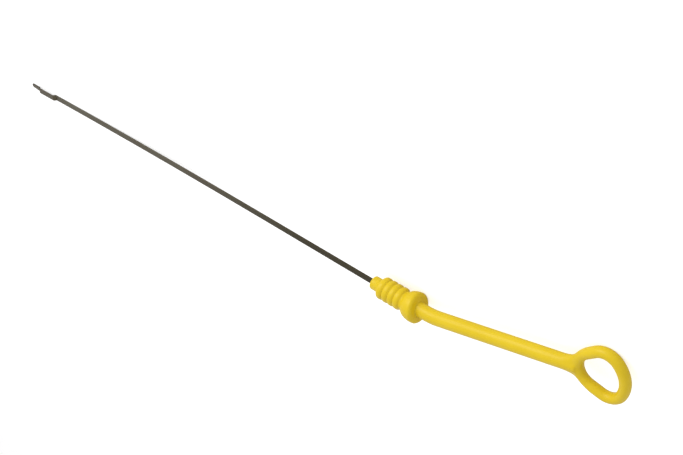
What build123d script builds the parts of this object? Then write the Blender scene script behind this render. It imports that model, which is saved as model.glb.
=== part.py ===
# Engine oil dipstick: a steel blade moulded into a plastic handle with a sealing plug and a finger loop.
# It is drawn along its plug's axis, X, with the blade towards -X, the loop in the XY plane and all lengths
# counted from the front of the plug's nose. At the end it is laid down on the floor as it comes to rest.
import os
from math import asin, atan, cos, degrees, hypot, pi, radians, sin, sqrt

from build123d import *

os.makedirs("parts", exist_ok=True)

# Blade, a strip of spring steel with a slight bow
blade_width = 5.0
blade_thickness = 0.9
blade_edge_break_width = 0.2
blade_length = 367.8
blade_root_length = 8.0
blade_straight_length = 91.8
blade_bow_height = 2.95

# Level marks, two offset bends near the end of the blade
full_mark_height = 1.8
low_mark_height = 1.2
mark_angle = 55.0
mark_bend_radius = 0.9
mark_spacing = 20.2
tip_length = 12.5
tip_lean_angle = 3.4
tip_root_width = 3.8
tip_width = 3.2
tip_rounding_radius = 1.4

# Hole in the hidden root of the blade, which the moulding fills
lock_hole_diameter = 2.4
lock_hole_distance = 28.0

# Plug, which seals the mouth of the guide tube
nose_diameter = 8.9
nose_length = 5.8
nose_rounding_length = 1.3
nose_rounding_height = 1.5
shoulder_length = 1.3
rib_count = 4
rib_diameter = 14.7
rib_pitch_length = 4.34
rib_land_width = 0.9
rib_depth = 1.05
crown_angle = 58.0

# Collar, a bead which stops the plug at the mouth of the tube
collar_groove_width = 1.3
collar_diameter = 19.4
collar_front_length = 8.3
collar_back_length = 4.4
collar_back_height = 3.4

# Stem, which tapers from the collar to the loop
stem_diameter = 9.3
stem_end_diameter = 8.75
stem_root_length = 1.8
stem_bend_radius = 37.6
stem_bend_angle = 16.4
stem_length = 91.9

# Finger loop, an almost round bar bent to a rounded triangle
loop_bar_width = 6.2
loop_bar_thickness = 6.8
loop_apex_radius = 12.6
loop_side_angle = 29.0
loop_side_length = 6.0
loop_corner_radius = 8.6
loop_end_radius = 20.8
loop_flare_radius = 13.5
flare_end_thickness = 6.4
flare_sections = 4

# Radii, and places along the axis of the plug
rib_radius = rib_diameter / 2
valley_radius = rib_radius - rib_depth
nose_radius = nose_diameter / 2
collar_radius = collar_diameter / 2
stem_radius = stem_diameter / 2
stem_end_radius = stem_end_diameter / 2
bar_half_width = loop_bar_width / 2
bar_half_thickness = loop_bar_thickness / 2
ribs_front = nose_length + shoulder_length
ribs_back = ribs_front + rib_count * rib_pitch_length
collar_front = ribs_back + collar_groove_width
collar_crest = collar_front + collar_front_length
collar_back = collar_crest + collar_back_length
stem_root_end = collar_back + stem_root_length

# Run of the blade along its middle
first_mark = blade_length - tip_length - mark_spacing
bow_run = first_mark - blade_straight_length
bow_radius = bow_run**2 / (2 * blade_bow_height)
bow_angle = degrees(bow_run / bow_radius)


def straight_on(edge, length):
    """A line that carries on from the end of an edge."""
    return Line(edge @ 1, edge @ 1 + (edge % 1) * length)


def offset_bend(edge, height, side, return_angle):
    """Two opposite bends that set the strip off to one side, carrying on from the end of an edge."""
    bend_rise = 2 * mark_bend_radius * (1 - cos(radians(mark_angle)))
    first_bend = JernArc(edge @ 1, edge % 1, mark_bend_radius, side * mark_angle)
    web = straight_on(first_bend, (height - bend_rise) / sin(radians(mark_angle)))
    return JernArc(web @ 1, web % 1, mark_bend_radius, -side * return_angle)


with BuildPart() as blade:
    with BuildLine(Plane.XZ) as blade_line:
        root = Line((collar_back + blade_root_length, 0), (-blade_straight_length, 0))
        bow = JernArc(root @ 1, root % 1, bow_radius, -bow_angle)
        full_mark = offset_bend(bow, full_mark_height, -1, mark_angle)
        full_mark_run = (bow @ 1 - full_mark @ 1).X
        between_marks = straight_on(full_mark, mark_spacing - full_mark_run)
        low_mark = offset_bend(between_marks, low_mark_height, 1, mark_angle - tip_lean_angle)
        low_mark_run = (between_marks @ 1 - low_mark @ 1).X
        tip = straight_on(low_mark, tip_length - low_mark_run)
    with BuildSketch(Plane(root @ 0, x_dir=(0, 1, 0), z_dir=root % 0)):
        strip = Rectangle(blade_width, blade_thickness)
        chamfer(strip.vertices(), blade_edge_break_width)
    sweep(path=blade_line.wires()[0])

    # Past the low mark the tip is narrower and ends round: what lies outside that outline is cut away.
    tip_start = tip @ 0
    tip_end = tip @ 1
    tip_run = tip_start.X - tip_end.X
    with BuildSketch(Plane.XY) as tip_waste:
        with Locations((tip_end.X, 0)):
            Rectangle(2 * tip_run, 2 * blade_width)
        tip_corners = [(tip_end.X, tip_width / 2), (tip_start.X, tip_root_width / 2)]
        tip_corners += [(x, -y) for x, y in reversed(tip_corners)]
        Polygon(*tip_corners, align=None, mode=Mode.SUBTRACT)
        end_corners = tip_waste.vertices().group_by(Axis.X)[1]
        fillet(end_corners, tip_rounding_radius)
    extrude(amount=blade_length, both=True, mode=Mode.SUBTRACT)
    with Locations((lock_hole_distance, 0)):
        Hole(lock_hole_diameter / 2)

# Flare, where the fillets between the stem and the loop run out
flare_reach = loop_apex_radius + bar_half_width + loop_flare_radius
flare_centre = loop_apex_radius - sqrt(flare_reach**2 - (stem_end_radius + loop_flare_radius) ** 2)
flare_length = (loop_apex_radius - flare_centre) * loop_flare_radius / flare_reach

# Angle of the loop's far arc, which meets the corner arcs smoothly
corner_inset = (loop_apex_radius - loop_corner_radius) * cos(radians(loop_side_angle))
corner_height = corner_inset + loop_side_length * sin(radians(loop_side_angle))
end_half_angle = degrees(asin(corner_height / (loop_end_radius - loop_corner_radius)))


def flare_size(share):
    """Half width and half thickness of the flare, at a share of its length from the stem."""
    fillet_reach = sqrt(loop_flare_radius**2 - (share * flare_length) ** 2)
    half_width = stem_end_radius + loop_flare_radius - fillet_reach
    end_half_thickness = flare_end_thickness / 2
    half_thickness = end_half_thickness + (stem_end_radius - end_half_thickness) * (1 + cos(pi * share)) / 2
    return half_width, half_thickness


def quarter_round(centre, length, height, start_angle):
    """A rounded corner of the turned outline, a quarter of an ellipse about its centre."""
    return EllipticalCenterArc(centre, length, height, start_angle, arc_size=90)


def crown(crest, top_radius, length, start_angle):
    """A side of a rounded crest of the turned outline, which falls to the valleys within a length."""
    half_length = length / sin(radians(crown_angle))
    half_height = (top_radius - valley_radius) / (1 - cos(radians(crown_angle)))
    centre = (crest, top_radius - half_height)
    return EllipticalCenterArc(centre, half_length, half_height, start_angle, arc_size=crown_angle)


with BuildPart() as handle:
    with BuildSketch(Plane.XZ):
        with BuildLine():
            nose_front = nose_radius - nose_rounding_height
            nose_middle = (nose_rounding_length, nose_front)
            quarter_round(nose_middle, nose_rounding_length, nose_rounding_height, 90)
            nose = [(nose_rounding_length, nose_radius), (nose_length, nose_radius)]
            Polyline(*nose, (ribs_front, valley_radius))
            rib_flank = (rib_pitch_length - rib_land_width) / 2
            for rib in range(rib_count):
                land_start = ribs_front + rib * rib_pitch_length + rib_flank
                land_end = land_start + rib_land_width
                crown(land_start, rib_radius, rib_flank, 90)
                Line((land_start, rib_radius), (land_end, rib_radius))
                crown(land_end, rib_radius, rib_flank, 90 - crown_angle)
            Line((ribs_back, valley_radius), (collar_front, valley_radius))
            crown(collar_crest, collar_radius, collar_front_length, 90)
            root_radius = collar_radius - collar_back_height
            quarter_round((collar_crest, root_radius), collar_back_length, collar_back_height, 0)
            root_middle = (stem_root_end, root_radius)
            quarter_round(root_middle, stem_root_length, root_radius - stem_radius, 180)
            Polyline((stem_root_end, stem_radius), (stem_root_end, 0), (0, 0), (0, nose_front))
        make_face()
    revolve(axis=Axis.X)

    with BuildLine() as stem_line:
        bend = JernArc((stem_root_end, 0), (1, 0), stem_bend_radius, stem_bend_angle)
    with BuildSketch(Plane(bend @ 0, z_dir=bend % 0)):
        Circle(stem_radius)
    sweep(path=stem_line.wires()[0])

    grip = Plane(bend @ 1 + (bend % 1) * stem_length, x_dir=bend % 1, z_dir=(0, 0, 1))
    with BuildSketch(Plane(bend @ 1, x_dir=grip.y_dir, z_dir=grip.x_dir)):
        Circle(stem_radius)
    with BuildSketch(Plane(grip.origin, x_dir=grip.y_dir, z_dir=grip.x_dir)):
        Circle(stem_end_radius)
    loft()

    with BuildLine(grip) as loop_line:
        apex = JernArc((0, 0), (0, 1), loop_apex_radius, loop_side_angle - 90)
        side = straight_on(apex, loop_side_length)
        corner = JernArc(side @ 1, side % 1, loop_corner_radius, end_half_angle - loop_side_angle - 90)
        end = JernArc(corner @ 1, corner % 1, loop_end_radius, -end_half_angle)
        mirror(about=Plane(grip.origin, z_dir=grip.y_dir))
    with BuildSketch(Plane(grip.origin, x_dir=grip.x_dir, z_dir=grip.y_dir)):
        Ellipse(bar_half_width, bar_half_thickness)
    sweep(path=loop_line.wires()[0])

    for section in range(-1, flare_sections + 1):
        share = section / flare_sections
        middle = grip.from_local_coords((flare_centre + share * flare_length, 0, 0))
        with BuildSketch(Plane(middle, x_dir=grip.y_dir, z_dir=grip.x_dir)):
            Ellipse(*flare_size(max(share, 0)))
    loft()
    add(blade.part, mode=Mode.SUBTRACT)

# At rest it lies on an edge of the blade, at its full mark or tip, on the collar and on the loop's corner.
# The pitch lifts the handle's end and the roll lets the loop down, and each depends a little on the other.
blade_supports = [(bow @ 1, blade_width / 2), (tip @ 1, tip_width / 2)]
loop_corner = corner.arc_center
corner_reach = loop_corner.Y + loop_corner_radius
settling_turns = 5
pitch = 0.0
roll = 0.0
for turn in range(settling_turns):
    pitches = []
    for support, half_width in blade_supports:
        drop = half_width * sin(roll) + (blade_thickness / 2 - support.Z) * cos(roll)
        pitches.append(atan((collar_radius - drop) / (collar_crest - support.X)))
    pitch = min(pitches)
    bar_drop = hypot(bar_half_width * sin(roll), bar_half_thickness * cos(roll))
    lift = collar_radius + (loop_corner.X - collar_crest) * sin(pitch) - bar_drop
    roll = asin(lift / corner_reach)

along = (cos(pitch), 0, sin(pitch))
upward = (-cos(roll) * sin(pitch), sin(roll), cos(roll) * cos(pitch))
resting = Plane((0, 0, 0), x_dir=along, z_dir=upward).location
box = Compound(children=[resting * blade.part, resting * handle.part]).bounding_box()
lying = Pos(-box.center().X, -box.center().Y, -box.min.Z) * resting

blade.part = lying * blade.part
blade.part.label = "blade"
export_step(blade.part, "parts/blade.step")
handle.part = lying * handle.part
handle.part.label = "handle"
export_step(handle.part, "parts/handle.step")
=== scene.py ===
from math import cos, pi, radians, sin

import bmesh
import bpy
from mathutils import Matrix, Quaternion, Vector


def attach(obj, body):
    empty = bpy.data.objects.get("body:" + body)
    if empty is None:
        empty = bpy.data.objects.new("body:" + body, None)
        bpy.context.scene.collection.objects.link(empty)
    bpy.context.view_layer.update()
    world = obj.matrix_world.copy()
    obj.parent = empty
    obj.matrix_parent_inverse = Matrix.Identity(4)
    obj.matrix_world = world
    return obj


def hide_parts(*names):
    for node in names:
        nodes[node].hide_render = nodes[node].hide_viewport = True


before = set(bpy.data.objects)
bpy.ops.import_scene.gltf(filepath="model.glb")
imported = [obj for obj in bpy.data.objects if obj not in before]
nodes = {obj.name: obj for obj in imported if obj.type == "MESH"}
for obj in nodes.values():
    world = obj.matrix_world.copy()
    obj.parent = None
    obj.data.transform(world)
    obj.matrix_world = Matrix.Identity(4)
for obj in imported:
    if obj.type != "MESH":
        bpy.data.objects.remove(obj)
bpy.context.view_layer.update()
scene = bpy.context.scene
scene.view_settings.view_transform = "Standard"

# Colours, in linear light
plastic_pale = (0.82, 0.594, 0.012, 1.0)
plastic_deep = (0.77, 0.549, 0.007, 1.0)
steel_olive = (0.106, 0.095, 0.066, 1.0)
steel_brown = (0.090, 0.075, 0.050, 1.0)
# Painted shade: the blade's dark colour towards the plug, standing in for its darker reflection there
steel_painted_shade = (0.046, 0.038, 0.020, 1.0)
floor_colour = (0.86, 0.86, 0.86, 1.0)
white = (1.0, 1.0, 1.0, 1.0)

# Plastic: its shine, the radius to which its edges look rounded, its clouds of colour, flow marks and grain
plastic_shine = 0.30
plastic_roughness = (0.34, 0.46)
plastic_softness = 0.0012
cloud_scale = 60.0
flow_scale = 420.0
flow_stretch = (0.12, 1, 1)
flow_strength = 0.05
flow_depth = 0.0004
grain_scale = 2600.0
grain_strength = 0.10
grain_depth = 0.0001

# Steel: its tints, its rolling lines, its stains, and the run along X over which painted shade darkens the
# blade towards the plug, standing in for its darker reflection there
tint_scale = 90.0
tint_stretch = (0.5, 1, 1)
line_scale = 3000.0
line_stretch = (0.01, 1, 1)
line_strength = 0.15
line_depth = 0.00005
line_roughness = (0.18, 0.24)
stain_scale = 700.0
stain_stretch = (0.4, 1, 1)
stain_roughness = (0.16, 0.26)
# Painted shade on the blade: where along X it starts, and where it is full towards the plug
plug_shade_start = -0.08
plug_shade_full = 0.04

# Noise: the range that most of its values lie in, and no stretch
noise_low = 0.3
noise_high = 0.7
unstretched = (1, 1, 1)

# Plug: its own frame as the dipstick lies has X along its axis from the nose, and Y to the stem's bend
plug_front = Vector((0.0996803, -0.0195226, 0.0086520))
plug_pitch = radians(-1.78728)
plug_roll = radians(-12.36916)
plug_turn = Matrix.Rotation(plug_pitch, 4, "Y") @ Matrix.Rotation(plug_roll, 4, "X")
plug_frame = Matrix.Translation(plug_front) @ plug_turn

# Collar: a dome on the plug's axis, with a flat rear face that is square to the stem and has a rounded rim
groove_radius = 0.00630
groove_end = 0.02575
groove_overlap = 0.0007
neck_clearance = 0.000035
dome_crest = 0.03406
dome_radius = 0.00969
dome_front_length = 0.0083
dome_front_angle = radians(58.0)
dome_back_angle = radians(35.0)
rim_length = 0.0024
rim_height = 0.0027
rim_rise = 0.0002
rim_angle = radians(85.0)

# Stem: it starts straight on the plug's axis and bends to a tilt
stem_radius = 0.00465
stem_start = 0.0403
stem_tilt = radians(16.4)

# Loop: its frame has X along the stem and its origin where the stem's line meets the loop's bar
loop_apex = Vector((0.13904, 0.02748, 0.0))
loop_frame = plug_frame @ Matrix.Translation(loop_apex) @ Matrix.Rotation(stem_tilt, 4, "Z")
flare_cut = -0.014
flare_run_out = 0.0002
flare_half_width = 0.0096
flare_soft_reach = 0.008
flare_soft_share = 0.5
flare_soft_rounds = 40
flare_voxel = 0.0005

# Fineness of the new shapes
turning_steps = 128
outline_steps = 24
same_place = 1e-6
crease_angle = radians(38.0)

# Light: an even white surround and one large soft lamp, low on the loop's side
surround_level = 0.70
lamp_place = Vector((-0.50, 0.90, 0.25))
lamp_aim = Vector((0.16, 0.0, 0.01))
lamp_size = 0.9
lamp_power = 7.5
floor_size = 40.0
floor_seen_lift = 0.58
floor_mirrored_lift = 0.10

# Camera, at the photograph's viewing angle: it looks down on the dipstick and is turned about its view
camera_place = Vector((0.34126, 0.41808, 0.22042))
camera_aim = Vector((0.07321, 0.00842, 0.0))
camera_turn = radians(-137.375)
camera_lens = 45.8565
camera_sensor = 36.0


def set_socket(tree, socket, value):
    """Links a socket to another node's output, or sets its value."""
    if isinstance(value, bpy.types.NodeSocket):
        tree.links.new(value, socket)
    else:
        socket.default_value = value


def add_node(tree, kind, inputs=None, **settings):
    """A shader node with its settings and the values or links of its inputs."""
    node = tree.nodes.new(kind)
    for name, value in settings.items():
        setattr(node, name, value)
    for name, value in (inputs or {}).items():
        set_socket(tree, node.inputs[name], value)
    return node


def reckoned(tree, operation, *values):
    """The result of a math node on values or links."""
    node = add_node(tree, "ShaderNodeMath", operation=operation)
    for socket, value in zip(node.inputs, values):
        set_socket(tree, socket, value)
    return node.outputs["Value"]


def ranged(tree, value, low, high, start=noise_low, stop=noise_high):
    """A value brought from one range, by default that of noise, to another."""
    values = {"Value": value, "From Min": start, "From Max": stop, "To Min": low, "To Max": high}
    return add_node(tree, "ShaderNodeMapRange", values).outputs["Result"]


def stretched_noise(tree, stretch, scale, detail=3.0, roughness=0.5):
    """Noise on the object's own coordinates. A stretch under 1 draws it out along X, Y or Z."""
    place = add_node(tree, "ShaderNodeTexCoord").outputs["Object"]
    mapped = add_node(tree, "ShaderNodeMapping", {"Vector": place, "Scale": stretch})
    values = {"Vector": mapped.outputs["Vector"], "Scale": scale, "Detail": detail, "Roughness": roughness}
    return add_node(tree, "ShaderNodeTexNoise", values).outputs["Fac"]


def blended(tree, share, first, second):
    """A colour between two colours, by a share from 0 to 1."""
    mix = add_node(tree, "ShaderNodeMix", {"Factor": share}, data_type="RGBA")
    first_colour, second_colour = mix.inputs[6], mix.inputs[7]
    set_socket(tree, first_colour, first)
    set_socket(tree, second_colour, second)
    return mix.outputs[2]


def bumped(tree, height, strength, distance, normal=None):
    """A normal that follows the relief of a height, on top of another normal if one is given."""
    values = {"Height": height, "Strength": strength, "Distance": distance}
    if normal is not None:
        values["Normal"] = normal
    return add_node(tree, "ShaderNodeBump", values).outputs["Normal"]


def new_material(name):
    """An empty material with its node tree and its output node."""
    material = bpy.data.materials.new(name)
    material.use_nodes = True
    tree = material.node_tree
    tree.nodes.clear()
    output = tree.nodes.new("ShaderNodeOutputMaterial")
    return material, tree, output


def moulded_plastic():
    """Satin yellow plastic with a fine mould grain and faint flow marks."""
    material, tree, output = new_material("yellow_plastic")
    clouds = stretched_noise(tree, unstretched, cloud_scale)
    flow = stretched_noise(tree, flow_stretch, flow_scale)
    grain = stretched_noise(tree, unstretched, grain_scale, detail=2.0)
    soft = add_node(tree, "ShaderNodeBevel", {"Radius": plastic_softness}, samples=8)
    flow_normal = bumped(tree, flow, flow_strength, flow_depth, soft.outputs["Normal"])
    values = {
        "Base Color": blended(tree, ranged(tree, clouds, 0.0, 1.0), plastic_deep, plastic_pale),
        "Roughness": ranged(tree, flow, *plastic_roughness),
        "Normal": bumped(tree, grain, grain_strength, grain_depth, flow_normal),
        "Specular IOR Level": plastic_shine,
    }
    shader = add_node(tree, "ShaderNodeBsdfPrincipled", values)
    tree.links.new(shader.outputs["BSDF"], output.inputs["Surface"])
    return material


def painted_plug_shade(tree):
    """How dark the painted shade on the blade is, from 0 to 1 along the blade towards the plug, standing in
    for the blade's darker reflection there.
    """
    place = add_node(tree, "ShaderNodeTexCoord").outputs["Object"]
    along = add_node(tree, "ShaderNodeSeparateXYZ", {"Vector": place}).outputs["X"]
    return ranged(tree, along, 0.0, 1.0, plug_shade_start, plug_shade_full)


def rolled_steel():
    """Dark oiled spring steel with rolling lines along the strip, brown and olive tints, and painted shade
    that darkens it towards the plug.
    """
    material, tree, output = new_material("spring_steel")
    tint = stretched_noise(tree, tint_stretch, tint_scale)
    lines = stretched_noise(tree, line_stretch, line_scale, detail=4.0, roughness=0.65)
    stains = stretched_noise(tree, stain_stretch, stain_scale, detail=4.0)
    bare = blended(tree, ranged(tree, tint, 0.0, 1.0), steel_brown, steel_olive)
    rolled = ranged(tree, lines, *line_roughness)
    stained = ranged(tree, stains, *stain_roughness)
    values = {
        # Painted shade: the blade's colour darkens towards the plug, standing in for its darker reflection
        # there
        "Base Color": blended(tree, painted_plug_shade(tree), bare, steel_painted_shade),
        "Roughness": reckoned(tree, "ADD", rolled, stained),
        "Normal": bumped(tree, lines, line_strength, line_depth),
        "Metallic": 1.0,
    }
    shader = add_node(tree, "ShaderNodeBsdfPrincipled", values)
    tree.links.new(shader.outputs["BSDF"], output.inputs["Surface"])
    return material


def seen_and_mirrored(tree):
    """Two values: 1 for a ray from the camera, and 1 for a ray from a reflection or through glass."""
    path = add_node(tree, "ShaderNodeLightPath").outputs
    mirrored = reckoned(tree, "MAXIMUM", path["Is Glossy Ray"], path["Is Transmission Ray"])
    return path["Is Camera Ray"], mirrored


def white_floor():
    """A matt white floor that takes shadows and is lifted to white where it is seen."""
    material, tree, output = new_material("studio_floor")
    seen, mirrored = seen_and_mirrored(tree)
    seen_lift = reckoned(tree, "MULTIPLY", seen, floor_seen_lift)
    lift = reckoned(tree, "MULTIPLY_ADD", mirrored, floor_mirrored_lift, seen_lift)
    paint = add_node(tree, "ShaderNodeBsdfDiffuse", {"Color": floor_colour})
    glow = add_node(tree, "ShaderNodeEmission", {"Color": white, "Strength": lift})
    both = add_node(tree, "ShaderNodeAddShader")
    tree.links.new(paint.outputs["BSDF"], both.inputs[0])
    tree.links.new(glow.outputs["Emission"], both.inputs[1])
    tree.links.new(both.outputs["Shader"], output.inputs["Surface"])
    return material


def placed(name, data):
    """An object of the scene with a mesh, lamp or lens."""
    piece = bpy.data.objects.new(name, data)
    scene.collection.objects.link(piece)
    return piece


def turned(name, outline, place):
    """A mesh turned about the X axis of a place, from points along the axis and out from it."""
    shape = bmesh.new()
    points = [shape.verts.new((along, out, 0)) for along, out in outline]
    edges = [shape.edges.new(pair) for pair in zip(points, points[1:])]
    bmesh.ops.spin(
        shape, geom=points + edges, axis=(1, 0, 0), cent=(0, 0, 0), angle=2 * pi, steps=turning_steps
    )
    bmesh.ops.remove_doubles(shape, verts=shape.verts, dist=same_place)
    bmesh.ops.recalc_face_normals(shape, faces=shape.faces)
    mesh = bpy.data.meshes.new(name)
    shape.to_mesh(mesh)
    shape.free()
    mesh.transform(place)
    return mesh


def spread(first, last):
    """Even steps from one angle to another."""
    return [first + (last - first) * step / outline_steps for step in range(outline_steps + 1)]


def worked_out(piece):
    """The mesh that a piece's modifiers give. The piece itself goes."""
    view = bpy.context.evaluated_depsgraph_get()
    mesh = bpy.data.meshes.new_from_object(piece.evaluated_get(view))
    bpy.data.objects.remove(piece)
    return mesh


def cut_across(shape, axis_frame, along, **cleared):
    """Cuts a shape across the X axis of a frame, at a distance along it, and may clear one side away."""
    everything = shape.verts[:] + shape.edges[:] + shape.faces[:]
    place = axis_frame @ Vector((along, 0, 0))
    direction = axis_frame.to_3x3().col[0]
    bmesh.ops.bisect_plane(shape, geom=everything, plane_co=place, plane_no=direction, **cleared)


def dome_blank():
    """The collar's dome before its rear is faced off."""
    length = dome_front_length / sin(dome_front_angle)
    height = (dome_radius - groove_radius) / (1 - cos(dome_front_angle))
    angles = spread(-dome_front_angle, dome_back_angle)
    dome = [(dome_crest + length * sin(a), dome_radius - height * (1 - cos(a))) for a in angles]
    neck_front = groove_end - groove_overlap
    neck_radius = groove_radius - neck_clearance
    outline = [(neck_front, 0), (neck_front, neck_radius), *dome, (dome[-1][0], 0)]
    return placed("collar", turned("collar", outline, plug_frame))


def collar_waste():
    """What is faced off behind the collar, turned about the stem's direction."""
    face_radius = dome_radius + rim_rise - rim_height
    rim = [(rim_length * cos(a), face_radius + rim_height * sin(a)) for a in spread(0, rim_angle)]
    reach = 2 * dome_radius
    outline = [(rim_length, 0), *rim, (rim[-1][0], reach), (reach, reach), (reach, 0)]
    tilt = Matrix.Translation((dome_crest, 0, 0)) @ Matrix.Rotation(stem_tilt, 4, "Z")
    return placed("collar_waste", turned("collar_waste", outline, plug_frame @ tilt))


def faced_collar():
    """The collar's mesh, with its rear faced off."""
    collar = dome_blank()
    waste = collar_waste()
    cut = collar.modifiers.new("facing", "BOOLEAN")
    cut.operation = "DIFFERENCE"
    cut.solver = "EXACT"
    cut.object = waste
    mesh = worked_out(collar)
    bpy.data.objects.remove(waste)
    return mesh


def stem_root():
    """The mesh of the straight root of the stem, from inside the collar."""
    return turned("stem_root", [(dome_crest, stem_radius), (stem_start, stem_radius)], plug_frame)


def soften(shape):
    """Smooths a shape round the two places where the flare runs out into the loop."""
    ends = [loop_frame @ Vector((flare_run_out, side * flare_half_width, 0)) for side in (-1, 1)]
    shares = {}
    for vert in shape.verts:
        gap = min((vert.co - end).length for end in ends)
        if gap < flare_soft_reach:
            shares[vert] = min(flare_soft_share, 1 - gap / flare_soft_reach)
    for _ in range(flare_soft_rounds):
        middles = {}
        for vert in shares:
            around = [edge.other_vert(vert).co for edge in vert.link_edges]
            middles[vert] = sum(around, Vector()) / len(around)
        for vert, share in shares.items():
            vert.co = vert.co.lerp(middles[vert], share)


def loop_end():
    """The mesh of the CAD handle's loop end, evenly meshed and with its flare softened."""
    blank = placed("loop_end", nodes["handle"].data.copy())
    remesh = blank.modifiers.new("even_mesh", "REMESH")
    remesh.mode = "VOXEL"
    remesh.voxel_size = flare_voxel
    mesh = worked_out(blank)
    shape = bmesh.new()
    shape.from_mesh(mesh)
    cut_across(shape, loop_frame, flare_cut, clear_inner=True)
    soften(shape)
    shape.to_mesh(mesh)
    shape.free()
    return mesh


def kept_handle():
    """The CAD handle's shape without its collar and its loop end."""
    shape = bmesh.new()
    shape.from_mesh(nodes["handle"].data)
    bmesh.ops.remove_doubles(shape, verts=shape.verts, dist=same_place)
    cut_across(shape, loop_frame, flare_cut, clear_outer=True)
    for along in (groove_end, stem_start):
        cut_across(shape, plug_frame, along)
    inward = plug_frame.inverted()
    middles = {face: (inward @ face.calc_center_median()).x for face in shape.faces}
    old_collar = [face for face, along in middles.items() if groove_end < along < stem_start]
    bmesh.ops.delete(shape, geom=old_collar, context="FACES")
    return shape


def handle_moulding():
    """The handle, with its collar, the root of its stem and its loop end in place of the CAD node's."""
    shape = kept_handle()
    shape.from_mesh(faced_collar())
    shape.from_mesh(stem_root())
    shape.from_mesh(loop_end())
    mesh = bpy.data.meshes.new("handle_moulding")
    shape.to_mesh(mesh)
    shape.free()
    mesh.shade_smooth()
    mesh.set_sharp_from_angle(angle=crease_angle)
    piece = placed("handle_moulding", mesh)
    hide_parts("handle")
    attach(piece, "root")
    return piece


def dress(piece, material):
    """Gives a piece its material."""
    piece.data.materials.clear()
    piece.data.materials.append(material)


def lay_floor():
    """The floor, wide enough to reach the horizon of the photograph's view."""
    half = floor_size / 2
    mesh = bpy.data.meshes.new("studio_floor")
    corners = [(-half, -half, 0), (half, -half, 0), (half, half, 0), (-half, half, 0)]
    mesh.from_pydata(corners, [], [(0, 1, 2, 3)])
    floor = placed("studio_floor", mesh)
    dress(floor, white_floor())


def light_surround():
    """A white world, which lights the object evenly and is seen as plain white."""
    world = bpy.data.worlds.new("studio")
    world.use_nodes = True
    tree = world.node_tree
    tree.nodes.clear()
    lighting = add_node(tree, "ShaderNodeBackground", {"Color": white, "Strength": surround_level})
    backdrop = add_node(tree, "ShaderNodeBackground", {"Color": white, "Strength": 1.0})
    shown = reckoned(tree, "MAXIMUM", *seen_and_mirrored(tree))
    mix = add_node(tree, "ShaderNodeMixShader", {"Fac": shown})
    tree.links.new(lighting.outputs["Background"], mix.inputs[1])
    tree.links.new(backdrop.outputs["Background"], mix.inputs[2])
    output = add_node(tree, "ShaderNodeOutputWorld")
    tree.links.new(mix.outputs["Shader"], output.inputs["Surface"])
    scene.world = world


def aimed(place, aim):
    """The turn of a lamp or camera that looks from one place at another."""
    return (aim - place).to_track_quat("-Z", "Y")


def hang_lamp():
    """The soft lamp."""
    lamp = bpy.data.lights.new("soft_lamp", "AREA")
    lamp.shape = "DISK"
    lamp.size = lamp_size
    lamp.energy = lamp_power
    holder = placed("soft_lamp", lamp)
    holder.location = lamp_place
    holder.rotation_mode = "QUATERNION"
    holder.rotation_quaternion = aimed(lamp_place, lamp_aim)


def set_camera():
    """The camera, turned about its line of sight as the photograph is."""
    lens = bpy.data.cameras.new("photo_camera")
    lens.lens = camera_lens
    lens.sensor_width = camera_sensor
    lens.sensor_fit = "HORIZONTAL"
    lens.clip_start = 0.01
    lens.clip_end = 100.0
    camera = placed("photo_camera", lens)
    camera.location = camera_place
    camera.rotation_mode = "QUATERNION"
    camera.rotation_quaternion = aimed(camera_place, camera_aim) @ Quaternion((0, 0, 1), camera_turn)
    scene.camera = camera


dress(handle_moulding(), moulded_plastic())
dress(nodes["blade"], rolled_steel())
lay_floor()
light_surround()
hang_lamp()
set_camera()
